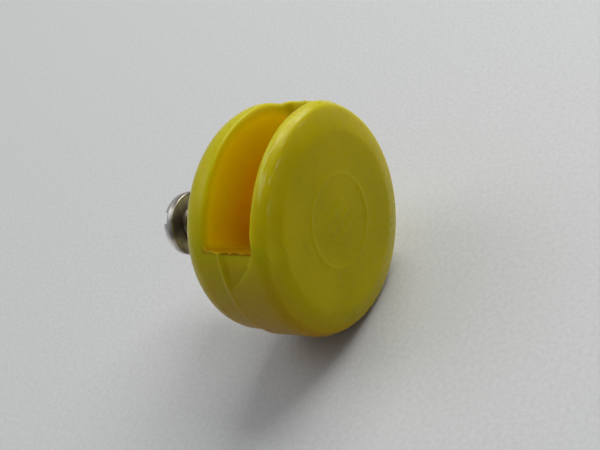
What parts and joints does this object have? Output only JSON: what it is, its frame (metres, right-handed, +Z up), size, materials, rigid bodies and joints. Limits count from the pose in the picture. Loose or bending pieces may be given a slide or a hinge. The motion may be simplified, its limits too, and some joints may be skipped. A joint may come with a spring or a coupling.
{
  "type": "fence insulator",
  "caption": "Round yellow disc insulator with a deep wire slot, held to a fence post by a pan-head screw from behind.",
  "frame": {"origin": "where the screw's axis crosses the flat back face, which rests on the post", "axes": "+Y runs along the screw's axis from the disc into the post, +Z is up out of the wire slot's mouth, and +X is to the right seen from the front"},
  "size_m": [0.032, 0.0304, 0.032],
  "materials": {
    "yellow_plastic": "semi-gloss moulded plastic, slightly translucent",
    "insert_brass": "machined",
    "screw_steel": "dull zinc-plated steel"
  },
  "bodies": {
    "insulator": {"insulator_body": "yellow_plastic", "threaded_insert": "insert_brass"},
    "screw": {"machine_screw": "screw_steel"}
  },
  "joints": [
    {"name": "screw_travel", "type": "slide", "parent": "insulator", "child": "screw", "axis": [0, 1, 0], "range_m": [-0.009, 0.0045]}
  ]
}
